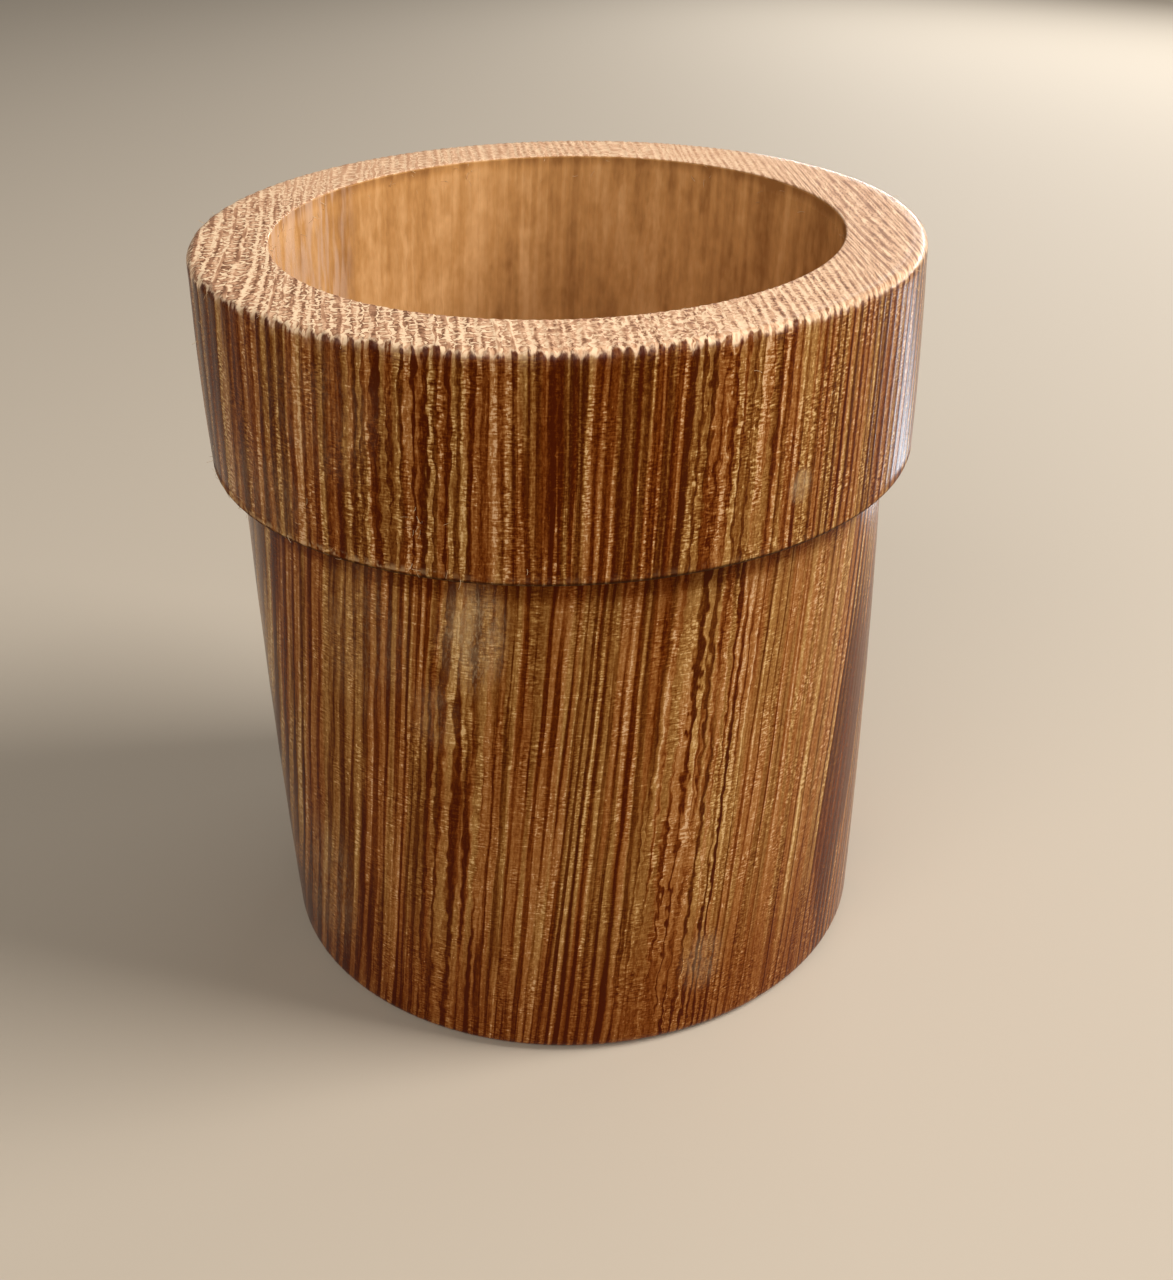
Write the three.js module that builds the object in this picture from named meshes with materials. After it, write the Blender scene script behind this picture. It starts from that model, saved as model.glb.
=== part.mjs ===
// A hardwood tumbler turned on a lathe: a barrel, a thick collar that makes its mouth, and a base disc.
// Millimetres, +Z up. The origin is the centre of the underside, so the cup stands on z = 0.

import * as THREE from 'three';

// Driving dimensions
const cupHeight = 95.4;
const boreDiameter = 68.8;
const barrelWall = 6.2; // thickness of the barrel just under the collar
const barrelTaper = 0.7; // the barrel's radius is this much less at the foot than under the collar
const barrelSwell = 0.4; // the barrel's wall bows out this far half way up
const collarHeight = 26.3;
const collarOverhang = 3.4; // the collar stands out this far past the barrel
const collarSwell = 0.15; // the collar's face bows out this far half way up
const spigotLength = 9; // the collar reaches this far down into the barrel
const baseThickness = 8;
const baseDish = 0.8; // depth of the hollow in the base disc's upper face

// Edges
const rimOuterRound = 1.1;
const rimInnerRound = 0.3;
const collarLowerRound = 0.9;
const footRound = 1.8;
const easedEdge = 0.4; // small bevel on an edge that enters or borders a joint

// Joints
const glueLine = 0.2; // space for glue between two turned faces
const spigotShare = 0.5; // the spigot takes this share of the barrel's wall, the socket's lip the rest
const rabbetShare = 0.4; // the base disc's rabbet takes this share of the wall at the foot

// Fineness of the turned faces
const turnFacets = 96;
const arcSteps = 5;
const swellSteps = 6;
const dishSteps = 4;

// Radii
const boreRadius = boreDiameter / 2;
const barrelTopRadius = boreRadius + barrelWall;
const barrelFootRadius = barrelTopRadius - barrelTaper;
const collarRadius = barrelTopRadius + collarOverhang;
const socketRadius = boreRadius + spigotShare * barrelWall;
const spigotRadius = socketRadius - glueLine;
const rabbetRadius = boreRadius + rabbetShare * (barrelFootRadius - boreRadius);
const baseRadius = rabbetRadius - glueLine;

// Heights
const collarUnderside = cupHeight - collarHeight;
const barrelTop = collarUnderside - glueLine;
const spigotEnd = collarUnderside - spigotLength;
const socketFloor = spigotEnd - glueLine;
const rabbetShoulder = baseThickness + glueLine;

// A point of a turned profile: distance from the axis, height.
function at(radius, height) {
  return new THREE.Vector2(radius, height);
}

// A quarter round from one angle to another, in quarter turns, about a centre.
function quarterRound(centre, radius, fromQuarter) {
  const points = [];
  for (let step = 0; step <= arcSteps; step += 1) {
    const angle = (fromQuarter + step / arcSteps) * (Math.PI / 2);
    points.push(at(centre.x + radius * Math.cos(angle), centre.y + radius * Math.sin(angle)));
  }
  return points;
}

// The inner points of a side that bows out by a swell between two ends.
function bowedSide(start, end, swell) {
  const points = [];
  for (let step = 1; step < swellSteps; step += 1) {
    const along = step / swellSteps;
    const point = start.clone().lerp(end, along);
    point.x += 4 * swell * along * (1 - along);
    points.push(point);
  }
  return points;
}

// A piece turned about the Z axis from its profile, which runs anticlockwise with the axis on its left.
function turnedPiece(name, profile, colour, roughness) {
  const geometry = new THREE.LatheGeometry(profile, turnFacets);
  geometry.rotateX(Math.PI / 2);
  const material = new THREE.MeshStandardMaterial({ color: colour, roughness, metalness: 0 });
  const piece = new THREE.Mesh(geometry, material);
  piece.name = name;
  return piece;
}

// The barrel: foot, bowed wall, land for the collar, socket, bore, and the rabbet for the base disc.
function barrelProfile() {
  const footEdge = at(barrelFootRadius - footRound, footRound);
  const wallStart = at(barrelFootRadius, footRound);
  const wallEnd = at(barrelTopRadius, barrelTop);
  const outline = [
    at(rabbetRadius + easedEdge, 0),
    ...quarterRound(footEdge, footRound, -1),
    ...bowedSide(wallStart, wallEnd, barrelSwell),
    wallEnd,
    at(socketRadius + easedEdge, barrelTop),
    at(socketRadius, barrelTop - easedEdge),
    at(socketRadius, socketFloor),
    at(boreRadius, socketFloor),
    at(boreRadius, rabbetShoulder),
    at(rabbetRadius, rabbetShoulder),
    at(rabbetRadius, easedEdge),
  ];
  return [...outline, outline[0].clone()];
}

// The collar: spigot, flat underside, bowed face, flat rim with rounded edges, and the bore.
function collarProfile() {
  const lowerEdge = at(collarRadius - collarLowerRound, collarUnderside + collarLowerRound);
  const outerEdge = at(collarRadius - rimOuterRound, cupHeight - rimOuterRound);
  const innerEdge = at(boreRadius + rimInnerRound, cupHeight - rimInnerRound);
  const faceStart = at(collarRadius, lowerEdge.y);
  const faceEnd = at(collarRadius, outerEdge.y);
  const outline = [
    at(boreRadius, spigotEnd),
    at(spigotRadius - easedEdge, spigotEnd),
    at(spigotRadius, spigotEnd + easedEdge),
    at(spigotRadius, collarUnderside),
    ...quarterRound(lowerEdge, collarLowerRound, -1),
    ...bowedSide(faceStart, faceEnd, collarSwell),
    ...quarterRound(outerEdge, rimOuterRound, 0),
    ...quarterRound(innerEdge, rimInnerRound, 1),
  ];
  return [...outline, outline[0].clone()];
}

// The base disc: flat underside with an eased edge, flat seat under the barrel, and a dished floor.
function baseProfile() {
  const floor = [];
  for (let step = 0; step <= dishSteps; step += 1) {
    const inward = 1 - step / dishSteps;
    floor.push(at(boreRadius * inward, baseThickness - baseDish * (1 - inward * inward)));
  }
  return [
    at(0, 0),
    at(baseRadius - easedEdge, 0),
    at(baseRadius, easedEdge),
    at(baseRadius, baseThickness),
    ...floor,
  ];
}

const tumbler = new THREE.Group();
tumbler.add(
  turnedPiece('barrel', barrelProfile(), 0x7d4a22, 0.45),
  turnedPiece('collar', collarProfile(), 0x8a5428, 0.42),
  turnedPiece('base_disc', baseProfile(), 0x8f6136, 0.55),
);

export default tumbler;
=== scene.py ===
# %% [markdown]
# # A turned hardwood tumbler
# The real cup is three pieces of one striped hardwood blank, each turned on a lathe: a barrel, a thick
# collar that makes the mouth, and a disc let into the foot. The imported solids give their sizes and
# places. Blender adds what the solids leave out: the grain, the worn rim, the varnish and torn fibres.

# %% Load the solids
import math

import bpy
from mathutils import Matrix, Vector


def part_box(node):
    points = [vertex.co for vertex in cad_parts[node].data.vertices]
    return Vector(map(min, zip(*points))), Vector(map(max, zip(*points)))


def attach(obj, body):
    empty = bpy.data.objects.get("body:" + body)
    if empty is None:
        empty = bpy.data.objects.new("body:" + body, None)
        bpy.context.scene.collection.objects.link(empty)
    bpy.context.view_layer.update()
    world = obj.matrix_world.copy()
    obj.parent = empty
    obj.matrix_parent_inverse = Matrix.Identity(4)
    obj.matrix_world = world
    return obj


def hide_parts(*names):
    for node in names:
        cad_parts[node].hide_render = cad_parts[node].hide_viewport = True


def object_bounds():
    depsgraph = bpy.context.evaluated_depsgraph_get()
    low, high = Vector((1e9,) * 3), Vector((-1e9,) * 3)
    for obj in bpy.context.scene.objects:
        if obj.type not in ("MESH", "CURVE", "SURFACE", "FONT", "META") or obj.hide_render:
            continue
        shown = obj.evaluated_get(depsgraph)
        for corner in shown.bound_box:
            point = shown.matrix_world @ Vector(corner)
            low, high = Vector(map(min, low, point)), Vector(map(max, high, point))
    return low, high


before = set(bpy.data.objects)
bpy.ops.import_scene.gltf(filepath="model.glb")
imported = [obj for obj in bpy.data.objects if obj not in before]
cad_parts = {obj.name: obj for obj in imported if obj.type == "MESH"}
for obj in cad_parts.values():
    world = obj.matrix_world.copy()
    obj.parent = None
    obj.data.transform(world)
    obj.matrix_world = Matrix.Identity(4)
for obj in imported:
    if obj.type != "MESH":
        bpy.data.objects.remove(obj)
cad_low, cad_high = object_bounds()
print("solids:", sorted(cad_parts), "box in mm:", [round(1000 * s, 2) for s in cad_high - cad_low])

# %% [markdown]
# ## Sizes
# Heights and outer radii are read from the solids' boxes, so the looks follow the solids. A box can't
# tell how thick a wall is or how round an edge is, so those few sizes are written here, in metres.

# %% Read the sizes
MM = 0.001
collar_low, collar_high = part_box("collar")
barrel_low, barrel_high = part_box("barrel")
base_low, base_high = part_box("base_disc")

cup_height = collar_high.z
spigot_end = collar_low.z
barrel_top = barrel_high.z
base_radius = base_high.x
base_thickness = base_high.z
print("cup", round(cup_height / MM, 2), "mm tall, barrel", round(barrel_top / MM, 2), "mm tall")

# %% Add the sizes that a box doesn't tell
bore_radius = 34.4 * MM
glue_line = 0.2 * MM
collar_swell = 0.15 * MM
collar_radius = collar_high.x - collar_swell
collar_underside = barrel_top + glue_line
barrel_wall = 6.2 * MM
barrel_taper = 0.7 * MM
barrel_swell = 0.4 * MM
barrel_top_radius = bore_radius + barrel_wall
barrel_foot_radius = barrel_top_radius - barrel_taper
socket_radius = bore_radius + barrel_wall / 2
spigot_radius = socket_radius - glue_line
rabbet_radius = base_radius + glue_line
base_dish = 0.8 * MM

rim_outer_round = 1.1 * MM
rim_inner_round = 0.3 * MM
collar_lower_round = 0.9 * MM
foot_round = 1.8 * MM
eased_edge = 0.4 * MM
print("collar", round(2 * collar_radius / MM, 2), "mm across, bore", round(2 * bore_radius / MM, 2), "mm")

# %% [markdown]
# ## Camera
# The photograph looks down at the cup from close by, so its upright sides lean together towards the
# foot. Focal length and place came from fitting the outlines of rim, collar and foot. A camera's axes
# are set here directly from three turns, because a small roll is easier to read that way.

# %% Place the camera
IMAGE_HEIGHT = 1280
SENSOR = 36.0
focal_pixels = 1665.3
camera_place = Vector((0.0, -0.19894, 0.15132))
camera_turn = 0.0130
camera_tip = 0.5186
camera_roll = -0.0189

aim = Vector((math.sin(camera_turn) * math.cos(camera_tip),
              math.cos(camera_turn) * math.cos(camera_tip),
              -math.sin(camera_tip)))
sideways = Vector((math.cos(camera_turn), -math.sin(camera_turn), 0.0))
upward = sideways.cross(aim)
camera_x = sideways * math.cos(camera_roll) + upward * math.sin(camera_roll)
camera_y = upward * math.cos(camera_roll) - sideways * math.sin(camera_roll)

lens = bpy.data.cameras.new("photo_camera")
lens.sensor_width = SENSOR
lens.lens = focal_pixels / IMAGE_HEIGHT * SENSOR
camera = bpy.data.objects.new("photo_camera", lens)
axes = Matrix((camera_x, camera_y, -aim)).transposed()
camera.matrix_world = Matrix.Translation(camera_place) @ axes.to_4x4()
bpy.context.collection.objects.link(camera)
bpy.context.scene.camera = camera
bpy.context.scene.view_settings.view_transform = "Standard"
print("lens", round(lens.lens, 1), "mm, tipped down", round(math.degrees(camera_tip), 1), "degrees")

# %% [markdown]
# ## Node helpers
# Shader trees and geometry trees share their maths and noise nodes. A few short helpers add such a node
# to either kind of tree, so that one description of the grain can colour the wood and also carve it.

# %% Add and wire nodes
def add(tree, kind, wires=None, **settings):
    """A new node; each wire is a value or another node's socket."""
    node = tree.nodes.new(kind)
    for name, value in settings.items():
        setattr(node, name, value)
    for key, value in (wires or {}).items():
        if isinstance(value, bpy.types.NodeSocket):
            tree.links.new(value, node.inputs[key])
        else:
            node.inputs[key].default_value = value
    return node


def calc(tree, operation, *values, clamp=False):
    """One step of arithmetic."""
    wires = dict(enumerate(values))
    return add(tree, "ShaderNodeMath", wires, operation=operation, use_clamp=clamp).outputs[0]


def plus(tree, *parts):
    """A sum of two or more values."""
    result = parts[0]
    for part in parts[1:]:
        result = calc(tree, "ADD", result, part)
    return result


def times(tree, *factors):
    """A product of two or more values."""
    result = factors[0]
    for factor in factors[1:]:
        result = calc(tree, "MULTIPLY", result, factor)
    return result


def mix(tree, share, first, second):
    """A value between two."""
    wires = {0: share, 2: first, 3: second}
    return add(tree, "ShaderNodeMix", wires, data_type="FLOAT").outputs[0]


def ease(tree, value, low, high, to_low=0.0, to_high=1.0):
    """A soft step from one level to another."""
    wires = {"Value": value, "From Min": low, "From Max": high, "To Min": to_low, "To Max": to_high}
    return add(tree, "ShaderNodeMapRange", wires, interpolation_type="SMOOTHSTEP").outputs["Result"]


# %% Work with places
def stretch(tree, vector, scale):
    """A vector with each of its parts scaled."""
    wires = {0: vector, 1: scale}
    return add(tree, "ShaderNodeVectorMath", wires, operation="MULTIPLY").outputs[0]


def along(tree, vector, direction):
    """How far a vector reaches in a direction."""
    wires = {0: vector, 1: direction}
    return add(tree, "ShaderNodeVectorMath", wires, operation="DOT_PRODUCT").outputs["Value"]


def pack(tree, x, y, z):
    """A place from its three parts."""
    return add(tree, "ShaderNodeCombineXYZ", {0: x, 1: y, 2: z}).outputs[0]


def noise(tree, vector, cells, detail=1.0, roughness=0.5):
    """Smooth noise between 0 and 1 whose cells have the given sizes in millimetres."""
    scaled = stretch(tree, vector, tuple(1.0 / size for size in cells))
    wires = {"Vector": scaled, "Scale": 1.0, "Detail": detail, "Roughness": roughness}
    return add(tree, "ShaderNodeTexNoise", wires).outputs[0]


def sway(tree, value, amount):
    """Noise turned into a push to either side."""
    return times(tree, calc(tree, "SUBTRACT", value, 0.5), 2.0 * amount)


def net(tree, vector, sizes, jumble):
    """How deep inside a cell a place lies, in a flat net of cells of about the given sizes."""
    scaled = stretch(tree, vector, (1.0 / sizes[0], 1.0 / sizes[1], 0.0))
    wires = {"Vector": scaled, "Scale": 1.0, "Randomness": jumble}
    node = add(tree, "ShaderNodeTexVoronoi", wires, voronoi_dimensions="2D", feature="DISTANCE_TO_EDGE")
    return node.outputs["Distance"]


# %% [markdown]
# ## The grain
# The wood is built of thin sheets: hard dark fibre and soft pale tissue, a pair about every millimetre
# and a quarter. In the photograph the sheets run from front to back through the whole cup and stand
# nearly upright. So the pattern is worked out in the solid, as if the pieces had been cut from one plank:
# stripes on the front, broad flames on the two sides and bands across the rim come from the same sheets.
# Zones say where in the plank the wood is darker, more rippled or more even. One dark zone is a painted
# reflection.

# %% Mark the zones of the plank
# Each zone: its middle across the sheets and up the grain, its reach both ways, and its strength.
DARK_AND_REFLECTION_ZONES = (
    (-38.0, 82.0, 8.0, 90.0, -0.08), (-14.8, 82.0, 3.2, 90.0, -0.50), (-9.6, 87.0, 2.8, 17.0, 0.85),
    (0.0, 82.0, 6.0, 90.0, 0.68), (10.0, 82.0, 7.0, 90.0, -0.20), (23.0, 82.0, 14.0, 90.0, -0.38),
    (79.0, 45.0, 4.5, 90.0, -0.35), (88.3, 40.0, 3.6, 90.0, -0.36), (95.0, 40.0, 5.5, 90.0, 0.10),
    (99.0, 35.0, 9.0, 90.0, -0.22), (106.5, 35.0, 8.0, 90.0, -0.35), (120.0, 35.0, 11.0, 90.0, -0.95),
    # painted reflection: this last zone, low on the barrel's right, is a dark reflection, not darker wood
    (129.3, 30.0, 3.6, 30.0, 1.9))
FIGURED_ZONES = (
    (-24.0, 82.0, 9.0, 90.0, 0.7), (9.5, 82.0, 7.0, 90.0, 0.9),
    (79.0, 40.0, 7.0, 90.0, 0.45), (106.5, 35.0, 8.5, 90.0, 0.9))
EVEN_ZONES = (
    (-1.0, 82.0, 7.0, 90.0, 0.6), (26.0, 82.0, 14.0, 90.0, 1.0),
    (96.0, 40.0, 6.0, 90.0, 0.7), (120.0, 35.0, 9.0, 90.0, 1.0))
ZONE_HEART = 0.35  # the share of a zone's reach that has its full strength


def near(tree, across, up, zones):
    """How far a place lies inside some zones."""
    level = 0.0
    for middle, height, reach, rise, strength in zones:
        aside = calc(tree, "DIVIDE", calc(tree, "SUBTRACT", across, middle), reach)
        above = calc(tree, "DIVIDE", calc(tree, "SUBTRACT", up, height), rise)
        away = add(tree, "ShaderNodeVectorMath", {0: pack(tree, aside, above, 0.0)}, operation="LENGTH")
        level = plus(tree, level, ease(tree, away.outputs["Value"], ZONE_HEART, 1.0, strength, 0.0))
    return level


print("zones:", len(DARK_AND_REFLECTION_ZONES), "dark or pale,", len(FIGURED_ZONES), "rippled,", len(EVEN_ZONES), "even")

# %% Count the sheets
SHEET_PAIR = 1.24  # millimetres from one dark sheet to the next


def count_sheets(tree, grain, across, figured):
    """How many pairs of sheets lie between the plank's middle and a place; they crowd and ripple."""
    finer = plus(tree, ease(tree, across, 6.0, 46.0, 0.0, 8.0), ease(tree, across, 106.0, 146.0, 0.0, 8.0))
    crowding = sway(tree, noise(tree, grain, (9.0, 60.0, 160.0)), 1.8)
    meander = sway(tree, noise(tree, grain, (4.0, 14.0, 13.0)), 0.22)
    ripple = plus(tree, sway(tree, noise(tree, grain, (0.9, 4.0, 2.8)), 0.50),
                  sway(tree, noise(tree, grain, (0.55, 3.0, 1.9)), 0.42))
    pairs = calc(tree, "DIVIDE", across, SHEET_PAIR)
    return plus(tree, pairs, finer, crowding, meander, times(tree, ripple, figured))


print("one pair of sheets every", SHEET_PAIR, "mm")

# %% Lay the sheets of the wood
TO_MM = (1000.0, 1000.0, 1000.0)  # Blender's places are in metres, the grain's in millimetres
SHEET_TURN = math.radians(5.0)  # the sheets run this far off the front to back line
RIPPLED_PALENESS = 0.08  # rippled wood is a little paler
# Where in the plank each piece was cut, how its sheets lean in degrees, and how pale it is there.
PLANK = {"collar": (0.0, 3.3, 0.0), "barrel": (100.0, 5.9, 0.12), "base_disc": (200.0, 0.0, 0.0)}
# Sheets differ from each other: cells of the differences, broad to fine, and how strong they are.
STRAYS = (((2.2, 20.0, 80.0), 0.8), ((0.85, 14.0, 40.0), 1.7), ((0.36, 7.0, 18.0), 1.2),
          ((0.17, 3.0, 7.0), 0.6))


def lay_sheets(tree, place, cut):
    """The wood at a place in a piece cut from the plank: its grain, its sheets and how pale it is there."""
    shift, lean, paleness = PLANK[cut]
    solid = stretch(tree, place, TO_MM)
    cos, sin = math.cos(SHEET_TURN), math.sin(SHEET_TURN)
    across = plus(tree, along(tree, solid, (cos, sin, -math.tan(math.radians(lean)))), shift)
    deep = along(tree, solid, (-sin, cos, 0.0))
    up = along(tree, solid, (0.0, 0.0, 1.0))
    grain = pack(tree, across, deep, up)
    wander = plus(tree, across, sway(tree, noise(tree, grain, (14.0, 40.0, 30.0)), 2.0))
    figured = near(tree, wander, up, FIGURED_ZONES)
    even = near(tree, wander, up, EVEN_ZONES)

    count = count_sheets(tree, grain, across, figured)
    straight = times(tree, count, SHEET_PAIR)
    sheet = pack(tree, straight, deep, up)
    wave = calc(tree, "SINE", times(tree, count, 2.0 * math.pi))
    stray = plus(tree, *(sway(tree, noise(tree, sheet, cells), amount) for cells, amount in STRAYS))
    stray = times(tree, stray, calc(tree, "MULTIPLY_ADD", even, -0.45, 1.0))
    level = times(tree, wave, calc(tree, "MULTIPLY_ADD", even, 0.3, 0.66))
    level = plus(tree, level, stray, times(tree, figured, RIPPLED_PALENESS), paleness)
    level = calc(tree, "SUBTRACT", level, near(tree, wander, up, DARK_AND_REFLECTION_ZONES))
    return {"grain": grain, "sheet": sheet, "straight": straight, "across": wander, "deep": deep, "up": up,
            "wave": wave, "pale": ease(tree, level, -0.6, 0.6)}


print("sheets lean by", [lean for shift, lean, paleness in PLANK.values()], "degrees in", list(PLANK))

# %% [markdown]
# ## Profiles
# A turner works to a profile: the line that the tool follows while the wood spins. Each piece has one, a row
# of points with a radius and a height that closes on itself or ends on the axis. Every point also says what
# the surface is there: varnished face, bare end grain, smooth bore, a hidden joint, or an edge that is
# knocked about and takes painted shade. Two neighbours blend into each other, so a sharp change needs a
# short row.

# %% Draw lines and corners
def between(begin, finish, share):
    """A surface part of the way from one to another."""
    return {key: begin[key] * (1.0 - share) + finish[key] * share for key in begin}


def stretch_of(start, end, steps, begin, finish=None, swell=0.0):
    """Rows along a side, which may bow out, up to but not including its end."""
    rows = []
    for step in range(steps):
        share = step / steps
        radius = start[0] + (end[0] - start[0]) * share + 4.0 * swell * share * (1.0 - share)
        height = start[1] + (end[1] - start[1]) * share
        rows.append((radius, height, between(begin, finish or begin, share)))
    return rows


def corner_of(centre, radius, quarter, steps, begin, finish):
    """Rows round a corner, from one surface to the next, up to but not including its end."""
    rows = []
    for step in range(steps):
        share = step / steps
        angle = (quarter + share) * math.pi / 2.0
        point = (centre[0] + radius * math.cos(angle), centre[1] + radius * math.sin(angle))
        rows.append((*point, between(begin, finish, share)))
    return rows


# %% Name the surfaces
# How far a point is end grain, inside the cup, free to wear, and near an edge, which is knocked about and
# carries painted shade under the collar and along the mouth.
FACE = {"end_grain": 0.0, "inside": 0.0, "relief": 1.0, "edge": 0.0}
LOW_EDGE = {**FACE, "relief": 0.3, "edge": 1.0}
UNDER_EDGE = {**LOW_EDGE, "edge": 2.0}
UNDERSIDE = {**UNDER_EDGE, "end_grain": 1.0}
FOOT_EDGE = {**FACE, "end_grain": 0.1, "relief": 0.3}
TOP_FACE = {**FACE, "end_grain": 0.12}
TOP_EDGE = {**FACE, "end_grain": 0.7}
RIM = {**FACE, "end_grain": 1.0}
MOUTH = {"end_grain": 0.0, "inside": 1.0, "relief": 0.3, "edge": 1.0}
BORE = {**MOUTH, "edge": 0.0}
JOINT = {**BORE, "relief": 0.0}
FLOOR = {**BORE, "end_grain": 1.0}
print("values that a surface carries:", list(FACE))


# %% Draw the collar's profile
def collar_profile():
    low = collar_underside
    finger_reach = 1.3 * MM
    cap_reach = 1.8 * MM
    face_low = (collar_radius, low + collar_lower_round)
    face_high = (collar_radius, cup_height - rim_outer_round)
    cap_low = (collar_radius, face_high[1] - cap_reach)
    lower_centre = (collar_radius - collar_lower_round, low + collar_lower_round)
    outer_centre = (collar_radius - rim_outer_round, cup_height - rim_outer_round)
    inner_centre = (bore_radius + rim_inner_round, cup_height - rim_inner_round)
    flat_start, flat_end = (outer_centre[0], cup_height), (inner_centre[0], cup_height)
    bare_start = (outer_centre[0] - finger_reach, cup_height)
    rows = stretch_of((bore_radius, spigot_end), (spigot_radius, spigot_end), 2, JOINT)
    rows += stretch_of((spigot_radius, spigot_end), (spigot_radius, low), 2, JOINT)
    rows += stretch_of((spigot_radius, low), (lower_centre[0], low), 3, UNDERSIDE)
    rows += corner_of(lower_centre, collar_lower_round, -1, 6, UNDER_EDGE, LOW_EDGE)
    rows += stretch_of(face_low, cap_low, 18, LOW_EDGE, FACE, collar_swell)
    rows += stretch_of(cap_low, face_high, 4, FACE, TOP_FACE)
    rows += corner_of(outer_centre, rim_outer_round, 0, 8, TOP_FACE, TOP_EDGE)
    rows += stretch_of(flat_start, bare_start, 3, TOP_EDGE, RIM)
    rows += stretch_of(bare_start, flat_end, 14, RIM)
    rows += corner_of(inner_centre, rim_inner_round, 1, 5, RIM, MOUTH)
    rows += stretch_of((bore_radius, inner_centre[1]), (bore_radius, spigot_end), 10, MOUTH, BORE)
    return rows


print("collar:", len(collar_profile()), "rows")


# %% Draw the barrel's profile
def barrel_profile():
    foot_centre = (barrel_foot_radius - foot_round, foot_round)
    wall_low = (barrel_foot_radius, foot_round)
    wall_high = (barrel_top_radius, barrel_top)
    lip_width = 0.2 * MM
    lip = (barrel_top_radius - lip_width, barrel_top)
    socket_floor = spigot_end - glue_line
    shoulder = base_thickness + glue_line
    rows = stretch_of((rabbet_radius, 0.0), (foot_centre[0], 0.0), 3, RIM)
    rows += corner_of(foot_centre, foot_round, -1, 7, FOOT_EDGE, FACE)
    rows += stretch_of(wall_low, wall_high, 40, FACE, FACE, barrel_swell)
    rows += stretch_of(wall_high, lip, 1, FACE)
    rows += stretch_of(lip, (socket_radius, barrel_top), 2, JOINT)
    rows += stretch_of((socket_radius, barrel_top), (socket_radius, socket_floor), 2, JOINT)
    rows += stretch_of((socket_radius, socket_floor), (bore_radius, socket_floor), 2, JOINT)
    rows += stretch_of((bore_radius, socket_floor), (bore_radius, shoulder), 10, BORE)
    rows += stretch_of((bore_radius, shoulder), (rabbet_radius, shoulder), 2, JOINT)
    rows += stretch_of((rabbet_radius, shoulder), (rabbet_radius, 0.0), 2, JOINT)
    return rows


print("barrel:", len(barrel_profile()), "rows")


# %% Draw the base disc's profile
def base_profile():
    rows = stretch_of((0.0, 0.0), (base_radius - eased_edge, 0.0), 24, RIM)
    rows += stretch_of((base_radius - eased_edge, 0.0), (base_radius, eased_edge), 2, RIM)
    rows += stretch_of((base_radius, eased_edge), (base_radius, base_thickness), 2, JOINT)
    rows += stretch_of((base_radius, base_thickness), (bore_radius, base_thickness), 2, JOINT)
    floor_steps = 20
    for step in range(floor_steps + 1):
        inward = 1.0 - step / floor_steps
        height = base_thickness - base_dish * (1.0 - inward * inward)
        rows.append((bore_radius * inward, height, FLOOR))
    return rows


print("base disc:", len(base_profile()), "rows")

# %% [markdown]
# ## The lathe
# A geometry tree does the turning. It takes the profile's points, makes a grid with one row for each
# point, bends the grid round the axis and welds the seam. Then it sinks the pale sheets a little, since
# soft tissue wears away first, and leaves the dark fibre standing, as on a cup that is much handled.

# %% Read values in a geometry tree
def group_input(tree, name, kind, value=None):
    """A named input of a tree."""
    socket = tree.interface.new_socket(name, in_out="INPUT", socket_type=kind)
    if value is not None:
        socket.default_value = value
    return socket


def named(tree, name):
    """A value that is stored on the geometry under a name."""
    return add(tree, "GeometryNodeInputNamedAttribute", {"Name": name}, data_type="FLOAT").outputs[0]


def sampled(tree, profile, value, row, kind="FLOAT"):
    """A value at one row of the profile."""
    wires = {"Geometry": profile, "Value": value, "Index": row}
    return add(tree, "GeometryNodeSampleIndex", wires, data_type=kind, domain="POINT").outputs[0]


# %% Bend a grid round the axis
WELD_REACH = 0.002 * MM  # points nearer than this become one, at the seam and on the axis


def bent_grid(tree, profile, steps):
    """A grid with a row for each of the profile's points, bent into a turned shape."""
    size = add(tree, "GeometryNodeAttributeDomainSize", {"Geometry": profile}, component="MESH")
    columns = plus(tree, steps, 1.0)
    wires = {"Vertices X": size.outputs["Point Count"], "Vertices Y": columns}
    grid = add(tree, "GeometryNodeMeshGrid", wires).outputs["Mesh"]
    index = add(tree, "GeometryNodeInputIndex").outputs[0]
    row = calc(tree, "FLOOR", calc(tree, "DIVIDE", plus(tree, index, 0.5), columns))
    column = calc(tree, "SUBTRACT", index, times(tree, row, columns))
    angle = times(tree, calc(tree, "DIVIDE", column, steps), -2.0 * math.pi)

    position = add(tree, "GeometryNodeInputPosition").outputs[0]
    point = sampled(tree, profile, position, row, "FLOAT_VECTOR")
    radius = along(tree, point, (1.0, 0.0, 0.0))
    height = along(tree, point, (0.0, 0.0, 1.0))
    turned = pack(tree, times(tree, radius, calc(tree, "COSINE", angle)),
                  times(tree, radius, calc(tree, "SINE", angle)), height)
    mesh = add(tree, "GeometryNodeSetPosition", {"Geometry": grid, "Position": turned}).outputs[0]
    for surface in FACE:
        value = sampled(tree, profile, named(tree, surface), row)
        wires = {"Geometry": mesh, "Name": surface, "Value": value}
        stored = add(tree, "GeometryNodeStoreNamedAttribute", wires, data_type="FLOAT", domain="POINT")
        mesh = stored.outputs[0]
    return add(tree, "GeometryNodeMergeByDistance", {"Geometry": mesh, "Distance": WELD_REACH}).outputs[0]


# %% Wear the pale sheets down
CORNER_BEND = math.radians(50.0)  # an edge that bends more than this stays hard


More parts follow.
